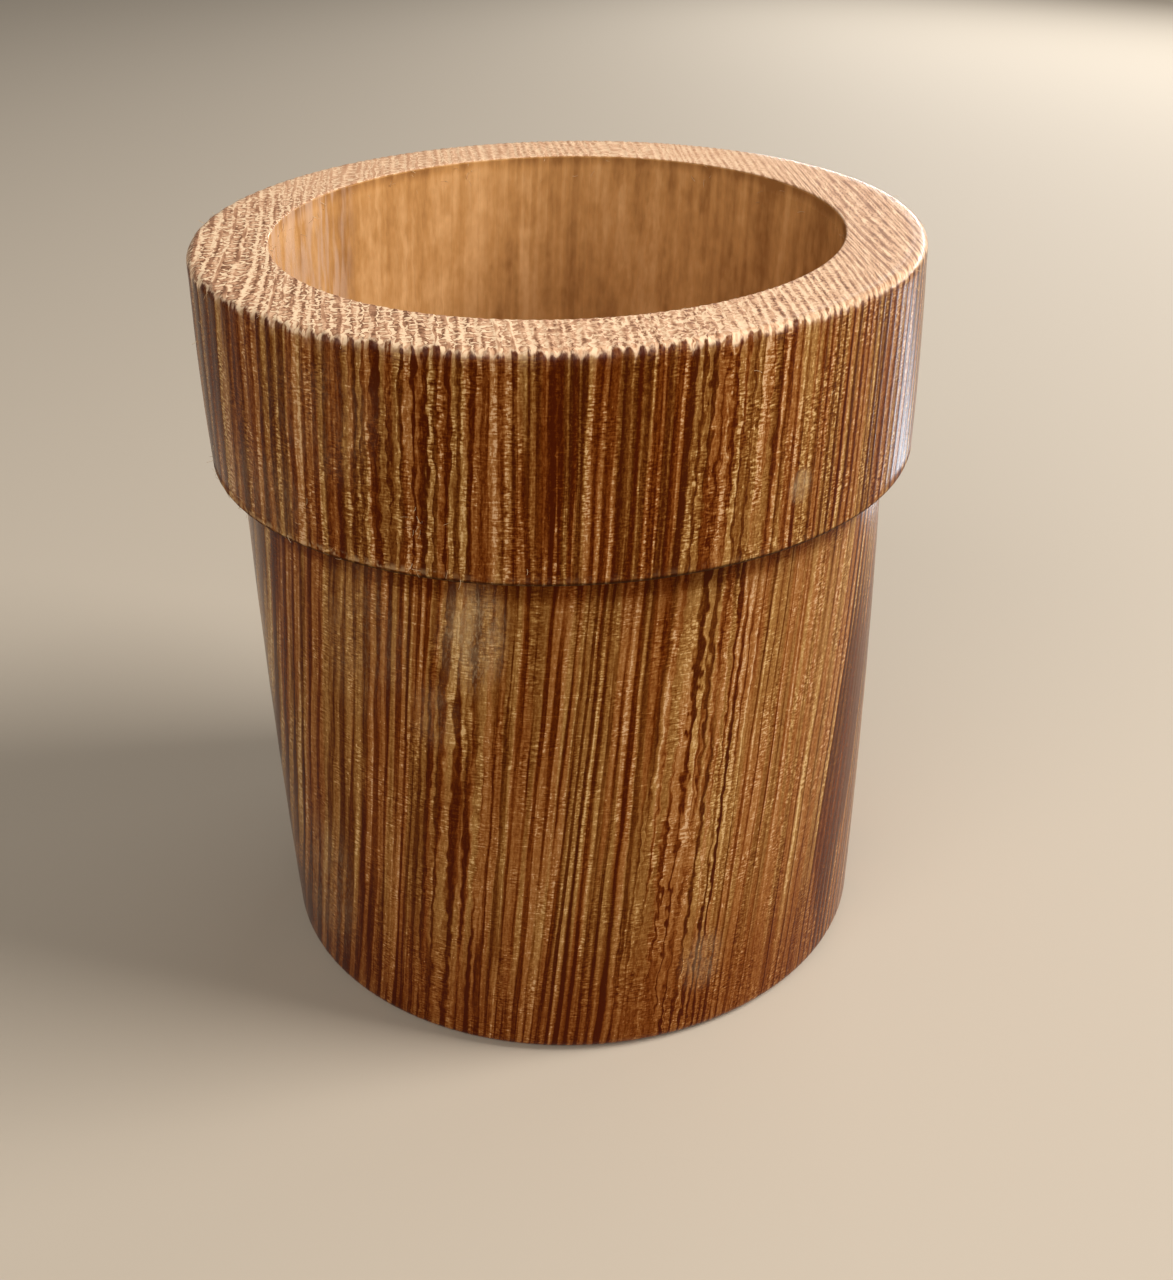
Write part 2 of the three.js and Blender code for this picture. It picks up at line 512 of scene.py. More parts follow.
def worn_down(tree, mesh, cut, relief):
    """The same mesh with its pale sheets sunk, less so on the right, where the cup is smoother."""
    wood = lay_sheets(tree, add(tree, "GeometryNodeInputPosition").outputs[0], cut)
    sunk = ease(tree, wood["wave"], -0.9, 0.9)
    handled = ease(tree, wood["across"], 16.0, 28.0, 1.0, 0.3)
    depth = times(tree, sunk, named(tree, "relief"), relief, handled, -1.0)
    normal = add(tree, "GeometryNodeInputNormal").outputs[0]
    sink = add(tree, "ShaderNodeVectorMath", {0: normal, "Scale": depth}, operation="SCALE").outputs[0]
    return add(tree, "GeometryNodeSetPosition", {"Geometry": mesh, "Offset": sink}).outputs[0]


def smoothed(tree, mesh):
    """Soft shading over curves, with hard lines kept at corners."""
    bend = add(tree, "GeometryNodeInputMeshEdgeAngle").outputs[0]
    soft = calc(tree, "LESS_THAN", bend, CORNER_BEND)
    mesh = add(tree, "GeometryNodeSetShadeSmooth", {"Geometry": mesh, "Shade Smooth": True}).outputs[0]
    wires = {"Geometry": mesh, "Shade Smooth": soft}
    return add(tree, "GeometryNodeSetShadeSmooth", wires, domain="EDGE").outputs[0]


# %% Put the lathe together
def close_tree(tree, mesh, finish):
    """The end of a tree: a plain mesh with its finish."""
    mesh = add(tree, "GeometryNodeRealizeInstances", {"Geometry": mesh}).outputs[0]
    mesh = add(tree, "GeometryNodeSetMaterial", {"Geometry": mesh, "Material": finish}).outputs[0]
    add(tree, "NodeGroupOutput", {0: mesh})


def lathe_tree(cut):
    tree = bpy.data.node_groups.new("lathe_" + cut, "GeometryNodeTree")
    group_input(tree, "Profile", "NodeSocketGeometry")
    group_input(tree, "Turn steps", "NodeSocketInt", 360)
    group_input(tree, "Relief", "NodeSocketFloat", 0.0)
    group_input(tree, "Finish", "NodeSocketMaterial")
    tree.interface.new_socket("Piece", in_out="OUTPUT", socket_type="NodeSocketGeometry")
    given = add(tree, "NodeGroupInput").outputs
    mesh = bent_grid(tree, given["Profile"], given["Turn steps"])
    mesh = worn_down(tree, mesh, cut, given["Relief"])
    close_tree(tree, smoothed(tree, mesh), given["Finish"])
    return tree


# %% Run the lathe
def run_tree(obj, tree, **inputs):
    """Runs a geometry tree on an object and leaves its result as the object's plain mesh."""
    modifier = obj.modifiers.new(tree.name, "NODES")
    modifier.node_group = tree
    sockets = {item.name: item.identifier for item in tree.interface.items_tree if item.in_out == "INPUT"}
    for name, value in inputs.items():
        modifier[sockets[name]] = value
    evaluated = obj.evaluated_get(bpy.context.evaluated_depsgraph_get())
    mesh = bpy.data.meshes.new_from_object(evaluated)
    obj.modifiers.clear()
    obj.data = mesh
    mesh.name = obj.name


def turn_piece(name, rows, tree, steps, relief, finish):
    """One turned piece from its profile's rows."""
    line = bpy.data.meshes.new(name + "_profile")
    loop = rows if rows[0][0] == 0.0 else rows + rows[:1]
    line.from_pydata([(radius, 0.0, height) for radius, height, surface in loop], [], [])
    for key in FACE:
        layer = line.attributes.new(key, "FLOAT", "POINT")
        layer.data.foreach_set("value", [surface[key] for radius, height, surface in loop])
    piece = bpy.data.objects.new(name, line)
    bpy.context.collection.objects.link(piece)
    run_tree(piece, tree, **{"Turn steps": steps, "Relief": relief, "Finish": finish})
    print(name, len(piece.data.polygons), "faces")
    return piece


# %% [markdown]
# ## Varnished faces
# The outside has a satin varnish over dark and pale stripes. Stripes are not flat colours: each has its
# own depth, pale ones are crossed by tiny rungs, and short scratches and specks run over both. A row of
# tones turns one number for how pale a place is into a colour, and some stripes use a redder row.

# %% Blend tones
def held(tree, *parts):
    """A sum kept between 0 and 1."""
    return calc(tree, "ADD", plus(tree, *parts[:-1]), parts[-1], clamp=True)


def toned(tree, value, tones):
    """A colour from a row of tones, dark to pale."""
    node = add(tree, "ShaderNodeValToRGB", {"Fac": value})
    steps = node.color_ramp.elements
    while len(steps) < len(tones):
        steps.new(0.5)
    for step, (place, colour) in zip(steps, tones):
        step.position = place
        step.color = (*colour, 1.0)
    return node.outputs["Color"]


def blend(tree, share, first, second):
    """A colour between two."""
    node = add(tree, "ShaderNodeMix", data_type="RGBA")
    for socket, value in zip((node.inputs[0], node.inputs[6], node.inputs[7]), (share, first, second)):
        if isinstance(value, tuple):
            socket.default_value = (*value, 1.0)
        else:
            tree.links.new(value, socket)
    return node.outputs[2]


# %% Colour the varnished faces
TAN_TONES = ((0.0, (0.056, 0.0078, 0.0004)), (0.25, (0.106, 0.026, 0.0022)), (0.5, (0.178, 0.059, 0.009)),
             (0.75, (0.29, 0.133, 0.033)), (0.92, (0.42, 0.222, 0.068)), (1.0, (0.60, 0.38, 0.17)))
WARM_TONES = ((0.0, (0.058, 0.0062, 0.0)), (0.25, (0.112, 0.021, 0.0008)), (0.5, (0.187, 0.050, 0.007)),
              (0.75, (0.30, 0.115, 0.027)), (0.92, (0.42, 0.200, 0.072)), (1.0, (0.60, 0.36, 0.19)))
# How much the small texture shows on each piece.
ROUGHNESS = {"collar": 1.55, "barrel": 1.1, "base_disc": 1.0}
# Painted shade in the corner under the collar's overhang, at the barrel's top; the other pieces have no such
# corner.
UNDER_COLLAR_SHADE_TOP = {"collar": 1000.0, "barrel": barrel_top / MM, "base_disc": 1000.0}


def small_texture(tree, wood):
    """Noise that several finishes share: short flecks, fine grit and uneven ends of stripes."""
    return {"fleck": noise(tree, wood["grain"], (0.26, 0.5, 0.9), 2.0, 0.6),
            "grit": noise(tree, wood["grain"], (0.2, 0.2, 0.26)),
            "ends": noise(tree, wood["sheet"], (1.2, 3.0, 3.0))}


def face_colour(tree, wood, texture, cut):
    rough = ROUGHNESS[cut]
    bands = noise(tree, wood["sheet"], (0.55, 25.0, 50.0))
    rungs = noise(tree, wood["sheet"], (0.6, 0.9, 0.22))
    patches = ease(tree, noise(tree, wood["grain"], (2.5, 5.0, 7.0)), 0.42, 0.62, 0.14, 0.6)
    rung_depth = times(tree, calc(tree, "MULTIPLY_ADD", wood["pale"], 0.5, 0.5), patches)
    # painted shade and a painted reddish reflection: each piece gets darker and redder towards the foot
    low = ease(tree, wood["up"], 3.0, 26.0, 1.0, 0.0)
    # painted shade: the barrel's top darkens just under the collar's overhang
    under_collar_shade = ease(tree, wood["up"], UNDER_COLLAR_SHADE_TOP[cut] - 4.0, UNDER_COLLAR_SHADE_TOP[cut] - 2.2, 0.0, -0.28)
    scratches = ease(tree, noise(tree, wood["grain"], (2.6, 2.6, 0.19)), 0.62, 0.74, 0.0, 0.18)
    specks = ease(tree, noise(tree, wood["grain"], (0.32, 0.4, 0.55)), 0.68, 0.80, 0.0, 0.32)
    tone = held(tree, calc(tree, "MULTIPLY_ADD", wood["pale"], 0.58, 0.13), sway(tree, bands, 0.5),
                sway(tree, texture["fleck"], 0.26 * rough), sway(tree, texture["grit"], 0.14 * rough),
                scratches, specks, times(tree, sway(tree, rungs, rough), rung_depth),
                times(tree, low, -0.2), under_collar_shade)
    stripe = noise(tree, wood["sheet"], (1.2, 18.0, 45.0), 0.0)
    # some stripes are redder, and near the foot the redder row is a painted reflection
    redness = calc(tree, "MAXIMUM", ease(tree, stripe, 0.42, 0.58), low)
    return blend(tree, redness, toned(tree, tone, TAN_TONES), toned(tree, tone, WARM_TONES))


print("tones in a row:", len(TAN_TONES))

# %% [markdown]
# ## The bare rim
# The rim has lost its varnish, so its end grain shows. Cut across, the sheets are not plain lines: on the
# left they are chains of dark cells with pale walls, at the front a maze, then a ladder of ragged columns,
# and on the right thin wavy lines. Each of these is a small pattern of its own, and the place across the
# plank decides which one shows. Towards the back, a painted sheen pales the rim and calms its pattern.

# %% Shake the rim's patterns
def rim_parts(tree, wood):
    """What the patterns share: places pushed about, ragged edges, pale threads, blots, whole dark sheets."""
    push = sway(tree, noise(tree, wood["sheet"], (0.8, 0.7, 6.0)), 0.42)
    pull = sway(tree, noise(tree, wood["sheet"], (0.7, 0.9, 5.0)), 0.42)
    wires = {0: wood["sheet"], 1: pack(tree, push, pull, 0.0)}
    shaken = add(tree, "ShaderNodeVectorMath", wires, operation="ADD").outputs[0]
    ragged = sway(tree, noise(tree, shaken, (0.42, 0.6, 5.0)), 0.30)
    threads = plus(tree, net(tree, shaken, (1.1, 1.5), 1.0), ragged)
    whole = ease(tree, noise(tree, wood["sheet"], (1.0, 5.0, 6.0), 0.0), 0.45, 0.55)
    return {"push": push, "shaken": shaken, "ragged": ragged,
            "threads": ease(tree, threads, 0.02, 0.16, 0.15, 1.0),
            "blots": ease(tree, noise(tree, wood["sheet"], (1.4, 3.0, 6.0)), 0.36, 0.60, 0.62, 1.15),
            "whole": times(tree, whole, ease(tree, wood["wave"], -0.75, -0.2, 0.95, 0.0))}


# %% Draw the rim's four patterns
def rim_chains(tree, wood, rim):
    """Chains of dark cells with pale walls and pale ribs, on the left."""
    cells = plus(tree, net(tree, rim["shaken"], (1.5, 1.6), 0.75), rim["ragged"])
    heart = ease(tree, cells, 0.20, 0.40, 0.0, 0.6)
    cells = calc(tree, "SUBTRACT", ease(tree, cells, 0.05, 0.15, 0.0, 1.3), heart)
    ribs = calc(tree, "SINE", plus(tree, times(tree, rim["push"], 2.0), times(tree, wood["straight"], 4.0)))
    ribs = times(tree, ease(tree, ribs, 0.45, 0.95), ease(tree, rim["ragged"], -0.10, 0.06, 0.1, 0.75))
    cells = times(tree, cells, calc(tree, "SUBTRACT", 1.0, ribs))
    return calc(tree, "MAXIMUM", cells, rim["whole"])


def rim_maze(tree, rim):
    """Dark scraps crossed by pale threads, at the front."""
    scraps = ease(tree, noise(tree, rim["shaken"], (0.48, 1.1, 6.0), 1.0, 0.6), 0.38, 0.52)
    return times(tree, scraps, rim["threads"], rim["blots"])


def rim_ladder(tree, wood, rim):
    """A ragged dark column for each sheet, right of the front."""
    columns = plus(tree, times(tree, wood["wave"], -0.16), times(tree, rim["ragged"], 1.7))
    columns = ease(tree, columns, -0.10, 0.16, 0.0, 0.9)
    return times(tree, columns, rim["blots"], ease(tree, rim["threads"], 0.15, 1.0, 0.45, 1.0))


def rim_lines(tree, wood, rim):
    """Thin wavy lines with gaps, on the right."""
    wavy = plus(tree, times(tree, rim["push"], 1.3), times(tree, wood["straight"], 1.75))
    wavy = calc(tree, "SINE", times(tree, wavy, 2.0 * math.pi))
    gaps = ease(tree, noise(tree, wood["sheet"], (0.6, 1.6, 5.0)), 0.34, 0.50)
    lines = times(tree, ease(tree, wavy, 0.1, 0.75), gaps)
    return times(tree, calc(tree, "MAXIMUM", lines, rim["whole"]), 0.58)


# %% Colour the bare rim
RIM_TONES = ((0.0, (0.20, 0.092, 0.048)), (0.25, (0.40, 0.198, 0.110)), (0.5, (0.61, 0.340, 0.198)),
             (0.75, (0.77, 0.480, 0.295)), (1.0, (0.93, 0.68, 0.44)))
GROUND_TONE = 1.0
BACK_SHEEN_TONE = 0.80


def rim_colour(tree, wood, texture):
    """The rim's colour, and how dark its pattern is."""
    rim = rim_parts(tree, wood)
    left = ease(tree, wood["across"], -18.0, -4.0, 1.0, 0.0)
    steps = ease(tree, wood["across"], 5.0, 15.0, 0.0, 0.8)
    right = ease(tree, wood["across"], 20.0, 28.0)
    dark = mix(tree, left, rim_maze(tree, rim), rim_chains(tree, wood, rim))
    dark = mix(tree, steps, dark, rim_ladder(tree, wood, rim))
    dark = mix(tree, right, dark, rim_lines(tree, wood, rim))
    ground = plus(tree, times(tree, left, 0.13), times(tree, steps, -0.20), times(tree, right, -0.14),
                  GROUND_TONE)
    depth = calc(tree, "MULTIPLY_ADD", left, -0.10, -0.66)
    dashes = noise(tree, wood["sheet"], (0.42, 3.0, 6.0), 0.0)
    tone = held(tree, calc(tree, "MULTIPLY_ADD", dark, depth, ground), sway(tree, dashes, 0.34),
                sway(tree, wood["pale"], 0.12), sway(tree, texture["grit"], 0.16))
    # painted sheen: towards the back the rim fades to one pale tone
    back_sheen = ease(tree, wood["deep"], 4.0, 32.0, 0.0, 0.5)
    return toned(tree, mix(tree, back_sheen, tone, BACK_SHEEN_TONE), RIM_TONES), dark


print("rim tones:", len(RIM_TONES))

# %% [markdown]
# ## The bore
# Inside, the wood is smoother and more golden, with broad soft streaks instead of stripes, as on a bore that
# is scraped and oiled rather than varnished. It gets darker to the right, partly browner wood and partly
# painted shade, and a thin line of painted shade runs along the mouth. At the far left, pale streaks are a
# painted sheen, where the wall meets the light at a low angle.

# %% Colour the bore
BORE_TONES = ((0.0, (0.32, 0.140, 0.043)), (0.5, (0.56, 0.28, 0.095)), (1.0, (0.78, 0.44, 0.19)))
BORE_SHEEN = (0.72, 0.50, 0.37)


def bore_colour(tree, wood, edge):
    soft = noise(tree, wood["sheet"], (2.0, 12.0, 30.0))
    strokes = noise(tree, wood["grain"], (1.0, 1.0, 3.6), 2.0, 0.6)
    clouds = noise(tree, wood["grain"], (2.2, 3.0, 3.0), 2.0, 0.6)
    bands = noise(tree, wood["grain"], (4.0, 9.0, 40.0))
    stains = ease(tree, noise(tree, wood["grain"], (3.0, 5.0, 6.0), 2.0), 0.54, 0.70, 0.0, -0.15)
    # painted shade: a thin dark line just inside the mouth
    mouth_shade = ease(tree, edge, 0.955, 1.0, 0.0, -0.35)
    # darker to the right: partly browner wood, partly painted shade on the wall turned away from the right
    # lamp
    browner_and_shaded_right = ease(tree, wood["across"], -20.0, 30.0, 0.08, -0.20)
    tone = held(tree, calc(tree, "MULTIPLY_ADD", wood["pale"], 0.08, 0.48), sway(tree, soft, 0.48),
                sway(tree, strokes, 0.30), sway(tree, clouds, 0.24), sway(tree, bands, 0.28),
                browner_and_shaded_right, stains, mouth_shade)
    # painted sheen: pale streaks on the bore's far left
    sheen_streaks = ease(tree, noise(tree, wood["grain"], (0.5, 2.0, 7.0), 2.0), 0.38, 0.62, 0.0, 0.45)
    sheen_streaks = times(tree, sheen_streaks, ease(tree, wood["across"], -33.8, -30.5, 1.0, 0.0))
    return blend(tree, sheen_streaks, toned(tree, tone, BORE_TONES), BORE_SHEEN)


print("bore tones:", len(BORE_TONES))

# %% [markdown]
# ## Wear
# Years of handling have marked the cup. Dust stays in the grain where no hand rubs, the varnish has gone
# from the pale sheets along the collar's top, and the lower edge is knocked pale in places. Each mark is a
# share between none and all, so that the finish can lay one over another in the order that they came.

# %% Find dust and knocks
DUST_ZONES = (
    (79.5, 61.0, 5.0, 9.0, 1.0), (75.6, 50.0, 3.5, 6.0, 0.3), (64.0, 16.0, 5.0, 15.0, 0.4),
    (111.0, 12.0, 4.0, 6.0, 0.5), (68.0, 58.0, 6.0, 14.0, 0.25), (17.3, 76.7, 1.6, 2.6, 1.0),
    (-33.0, 86.0, 9.0, 10.0, 0.2), (-40.0, 74.0, 6.0, 8.0, 0.3))


def dust_share(tree, wood):
    """Pale film that stays where hands don't rub, on the front of the cup."""
    strokes = noise(tree, wood["grain"], (0.24, 0.5, 0.75), 3.0, 0.65)
    haze = ease(tree, noise(tree, wood["grain"], (2.0, 3.0, 3.5)), 0.30, 0.66, 0.06, 0.26)
    film = plus(tree, haze, ease(tree, strokes, 0.46, 0.66, 0.0, 0.34))
    front = ease(tree, wood["deep"], -8.0, 8.0, 1.0, 0.0)
    zones = near(tree, wood["across"], wood["up"], DUST_ZONES)
    return calc(tree, "MULTIPLY", times(tree, film, front), zones, clamp=True)


def knock_share(tree, wood, edge):
    """Broken patches of pale wood along a lower edge."""
    patches = ease(tree, noise(tree, wood["grain"], (0.9, 1.2, 1.4), 2.0, 0.6), 0.42, 0.58, 0.0, 0.6)
    left = ease(tree, wood["across"], -28.0, -16.0, 1.0, 0.15)
    line = times(tree, ease(tree, edge, 0.965, 1.0), ease(tree, edge, 1.05, 1.2, 1.0, 0.0))
    return times(tree, line, patches, left)


print("dust zones:", len(DUST_ZONES))


# %% Find worn varnish at the rim
def varnish_reach(tree, wood, texture, end, inside):
    """A level that passes a half where the varnish ends; dark sheets push that line like fingertips."""
    arch = calc(tree, "SQRT", calc(tree, "MULTIPLY_ADD", wood["wave"], -0.5, 0.5))
    finger = plus(tree, calc(tree, "MULTIPLY_ADD", arch, -0.07, 0.01), times(tree, wood["pale"], 0.07),
                  sway(tree, texture["ends"], 0.40), sway(tree, texture["fleck"], 0.10))
    finger = times(tree, finger, ease(tree, wood["across"], 16.0, 28.0, 1.0, 0.25))
    finger = plus(tree, finger, ease(tree, wood["deep"], -36.0, 0.0, 0.10, 0.28))
    return plus(tree, end, times(tree, finger, ease(tree, inside, 0.0, 0.1, 1.0, 0.2)))


def tip_share(tree, texture, reach, end, inside):
    """A thin cream line where the varnish ends."""
    line = times(tree, ease(tree, reach, 0.42, 0.50), ease(tree, reach, 0.53, 0.65, 0.45, 0.0))
    line = times(tree, line, ease(tree, texture["fleck"], 0.40, 0.54, 0.25, 1.0))
    return times(tree, line, ease(tree, end, 0.06, 0.16), ease(tree, inside, 0.0, 0.1, 1.0, 0.0))


def grey_sheen_share(tree, texture, end):
    """A painted grey sheen on the rounded edge below the rim."""
    edge_sheen = times(tree, ease(tree, end, 0.05, 0.4), ease(tree, texture["ends"], 0.35, 0.65, 0.15, 0.6))
    return times(tree, edge_sheen, ease(tree, texture["fleck"], 0.35, 0.6, 0.4, 1.0))


def cap_share(tree, wood, texture, end):
    """Pale sheets that have lost their varnish along the collar's top edge, on the left and the front."""
    sheets = plus(tree, wood["pale"], sway(tree, texture["fleck"], 0.5))
    left = ease(tree, wood["across"], -22.0, 14.0, 0.6, 0.2)
    return times(tree, ease(tree, sheets, 0.5, 1.0), left, ease(tree, end, 0.02, 0.30))


# %% [markdown]
# ## The finish as a whole
# One function mixes the wood for all three pieces, from the values that the profile gave each point. The
# varnish is satin, smoother on the right and duller on bare end grain. A slight bump follows the stripes
# on the faces and the cells on the rim, because relief finer than that would need too many faces.

# %% Set the gloss and the bump
SATIN = 0.27  # roughness of the varnish
BUMP_HEIGHT = 0.06 * MM


def gloss_level(tree, wood, texture, bare, end, edge):
    dull = times(tree, bare, ease(tree, end, 0.7, 1.0), 0.3)
    return plus(tree, dull, SATIN, sway(tree, texture["fleck"], 0.10),
                ease(tree, wood["across"], 16.0, 28.0, 0.0, -0.06), ease(tree, edge, 0.94, 1.0, 0.0, 0.4))


def bumped(tree, wood, texture, bare, cells):
    stripes = plus(tree, times(tree, wood["pale"], -0.6), times(tree, texture["fleck"], 0.5))
    ridges = mix(tree, bare, stripes, times(tree, cells, -0.5))
    wires = {"Height": ridges, "Strength": 0.5, "Distance": BUMP_HEIGHT}
    return add(tree, "ShaderNodeBump", wires).outputs[0]


# %% Put the finish together
# The grey is a painted sheen and the under colour is painted shade; cap, dust, knocks and cream are the
# wood's own.
SHEEN_GREY, CAP, DUST = (0.27, 0.17, 0.14), (0.56, 0.37, 0.21), (0.48, 0.35, 0.19)
UNDER_SHADE, KNOCKED, CREAM = (0.022, 0.007, 0.001), (0.46, 0.29, 0.14), (0.86, 0.63, 0.42)


def surface_value(tree, name):
    """A value that the profile gave to the surface."""
    return add(tree, "ShaderNodeAttribute", attribute_name=name).outputs["Fac"]


def turned_wood(name, cut):
    material = bpy.data.materials.new(name)
    material.use_nodes = True
    tree = material.node_tree
    tree.nodes.clear()
    wood = lay_sheets(tree, add(tree, "ShaderNodeTexCoord").outputs["Object"], cut)
    texture = small_texture(tree, wood)
    end, inside, edge = (surface_value(tree, key) for key in ("end_grain", "inside", "edge"))
    reach = varnish_reach(tree, wood, texture, end, inside)
    bare = times(tree, ease(tree, reach, 0.34, 0.64), ease(tree, end, 0.02, 0.14))
    rim, cells = rim_colour(tree, wood, texture)

    colour = face_colour(tree, wood, texture, cut)
    # painted sheen: grey over the rounded edge below the rim
    colour = blend(tree, grey_sheen_share(tree, texture, end), colour, SHEEN_GREY)
    colour = blend(tree, cap_share(tree, wood, texture, end), colour, CAP)
    colour = blend(tree, dust_share(tree, wood), colour, DUST)
    colour = blend(tree, ease(tree, edge, 1.04, 1.40, 0.0, 0.8), colour, UNDER_SHADE)
    colour = blend(tree, knock_share(tree, wood, edge), colour, KNOCKED)
    colour = blend(tree, inside, colour, bore_colour(tree, wood, edge))
    colour = blend(tree, bare, colour, rim)
    colour = blend(tree, tip_share(tree, texture, reach, end, inside), colour, CREAM)

    shader = add(tree, "ShaderNodeBsdfPrincipled",
                 {"Base Color": colour, "Roughness": gloss_level(tree, wood, texture, bare, end, edge),
                  "Normal": bumped(tree, wood, texture, bare, cells), "IOR": 1.3,
                  "Specular IOR Level": 0.16, "Specular Tint": (1.0, 0.7, 0.4, 1.0)})
    add(tree, "ShaderNodeOutputMaterial", {"Surface": shader.outputs[0]})
    return material


# %% [markdown]
# ## The three pieces
# Each piece is turned, given its finish and hung from the cup's root, and the solid that it stands for is
# hidden. The grain leans by three degrees on the collar and by six on the barrel, which is how the
# photograph tells them apart.

# %% Turn the collar, the barrel and the base disc
TURN_STEPS = 1320
RELIEF = 0.06 * MM
CUTS = {
    "collar": (collar_profile(), TURN_STEPS, "collar_wood"),
    "barrel": (barrel_profile(), TURN_STEPS, "barrel_wood"),
    "base_disc": (base_profile(), 900, "base_wood"),
}
pieces = {}
for node, (rows, steps, finish) in CUTS.items():
    piece = turn_piece("turned_" + node, rows, lathe_tree(node), steps, RELIEF, turned_wood(finish, node))
    pieces[node] = piece
    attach(piece, "root")
    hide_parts(node)

# %% [markdown]
# ## Torn fibres
# Where the varnish has gone, single fibres of the wood come loose: along the mouth, over the rim's outer
# edge, along the collar's lower edge, and in one small tuft on its face. They could be painted on, but a
# fibre that stands off the wood also catches light. So a geometry tree scatters thin bent hairs over a
# copy of the collar, thickest where the surface is marked as an edge.

# %% Bend one fibre
def one_fibre(tree, thickness):
    """A hair one metre tall, bent to one side; instances scale it to its length."""
    line = add(tree, "GeometryNodeCurvePrimitiveLine", {"End": (0.0, 0.0, 1.0)}).outputs[0]
    line = add(tree, "GeometryNodeResampleCurve", {"Curve": line, "Count": 5}).outputs[0]
    rise = along(tree, add(tree, "GeometryNodeInputPosition").outputs[0], (0.0, 0.0, 1.0))
    bend = pack(tree, times(tree, rise, rise, 0.45), 0.0, 0.0)
    line = add(tree, "GeometryNodeSetPosition", {"Geometry": line, "Offset": bend}).outputs[0]
    ring = add(tree, "GeometryNodeCurvePrimitiveCircle", {"Resolution": 3, "Radius": thickness})
    wires = {"Curve": line, "Profile Curve": ring.outputs["Curve"], "Fill Caps": True}
    return add(tree, "GeometryNodeCurveToMesh", wires).outputs[0]


# %% Choose where fibres stand
TUFT = Vector((-15.7, -41.2, 75.7)) * MM


def fibre_share(tree):
    """How many fibres a place carries, for each square millimetre."""
    end, inside, edge = (named(tree, name) for name in ("end_grain", "inside", "edge"))
    position = add(tree, "GeometryNodeInputPosition").outputs[0]
    left = ease(tree, along(tree, position, (1.0, 0.0, 0.0)), -0.030, 0.010, 1.0, 0.3)
    mouth = times(tree, inside, ease(tree, edge, 0.98, 1.0, 0.0, 0.25))
    lower = times(tree, ease(tree, edge, 0.965, 1.0, 0.0, 0.5), ease(tree, edge, 1.2, 1.5, 1.0, 0.0))
    tips = times(tree, ease(tree, end, 0.1, 0.3, 0.0, 0.3), ease(tree, end, 0.6, 0.8, 1.0, 0.0))
    face = times(tree, ease(tree, end, 0.0, 0.1, 0.012, 0.0), ease(tree, edge, 1.0, 1.1, 1.0, 0.0))
    away = add(tree, "ShaderNodeVectorMath", {0: position, 1: tuple(TUFT)}, operation="DISTANCE")
    tuft = ease(tree, away.outputs["Value"], 0.3 * MM, 1.3 * MM, 5.0, 0.0)
    outer = plus(tree, times(tree, plus(tree, lower, tips, face), left), tuft)
    return plus(tree, mouth, times(tree, outer, calc(tree, "SUBTRACT", 1.0, inside)))


print("tuft at", [round(part / MM, 1) for part in TUFT], "mm")

# %% Turn and trim fibres
BOX_MARGIN = 0.01 * MM


def random_vector(tree, reach, seed):
    """A random direction, different at each fibre."""
    wires = {0: tuple(-part for part in reach), 1: reach, "Seed": seed}
    return add(tree, "FunctionNodeRandomValue", wires, data_type="FLOAT_VECTOR").outputs[0]


def fibre_turn(tree, normal):
    """Mostly flat against the wood, and a little outward."""
    outward = stretch(tree, normal, (0.35, 0.35, 0.35))
    wires = {0: outward, 1: random_vector(tree, (0.6, 0.6, 1.0), 3)}
    heading = add(tree, "ShaderNodeVectorMath", wires, operation="ADD").outputs[0]
    wires = {"Rotation": random_vector(tree, (0.0, 0.0, math.pi), 5), "Vector": heading}
    return add(tree, "FunctionNodeAlignRotationToVector", wires, axis="Z").outputs[0]


def kept_in_box(tree, mesh):
    """No fibre reaches past the box of the solids."""
    place = add(tree, "GeometryNodeInputPosition").outputs[0]
    margin = Vector((BOX_MARGIN, BOX_MARGIN, BOX_MARGIN))
    for limit, operation in ((cad_low + margin, "MAXIMUM"), (cad_high - margin, "MINIMUM")):
        wires = {0: place, 1: tuple(limit)}
        place = add(tree, "ShaderNodeVectorMath", wires, operation=operation).outputs[0]
    return add(tree, "GeometryNodeSetPosition", {"Geometry": mesh, "Position": place}).outputs[0]


# %% Scatter fibres
PER_SQUARE_MM = 1.0e6  # Blender counts points for each square metre


def fibre_tree():
    tree = bpy.data.node_groups.new("torn_fibres", "GeometryNodeTree")
    group_input(tree, "Wood", "NodeSocketGeometry")
    group_input(tree, "Thickness", "NodeSocketFloat", 0.03)
    group_input(tree, "Shortest", "NodeSocketFloat", 0.0)
    group_input(tree, "Longest", "NodeSocketFloat", 0.0)
    group_input(tree, "Seed", "NodeSocketInt", 1)
    group_input(tree, "Finish", "NodeSocketMaterial")
    tree.interface.new_socket("Fibres", in_out="OUTPUT", socket_type="NodeSocketGeometry")
    given = add(tree, "NodeGroupInput").outputs
    density = times(tree, fibre_share(tree), PER_SQUARE_MM)
    wires = {"Mesh": given["Wood"], "Density": density, "Seed": given["Seed"]}
    scattered = add(tree, "GeometryNodeDistributePointsOnFaces", wires).outputs
    wires = {2: given["Shortest"], 3: given["Longest"], "Seed": 7}
    length = add(tree, "FunctionNodeRandomValue", wires, data_type="FLOAT").outputs[1]
    wires = {"Points": scattered["Points"], "Instance": one_fibre(tree, given["Thickness"]),
             "Rotation": fibre_turn(tree, scattered["Normal"]), "Scale": pack(tree, length, length, length)}
    fibres = add(tree, "GeometryNodeInstanceOnPoints", wires).outputs[0]
    fibres = add(tree, "GeometryNodeRealizeInstances", {"Geometry": fibres}).outputs[0]
    close_tree(tree, kept_in_box(tree, fibres), given["Finish"])
    return tree


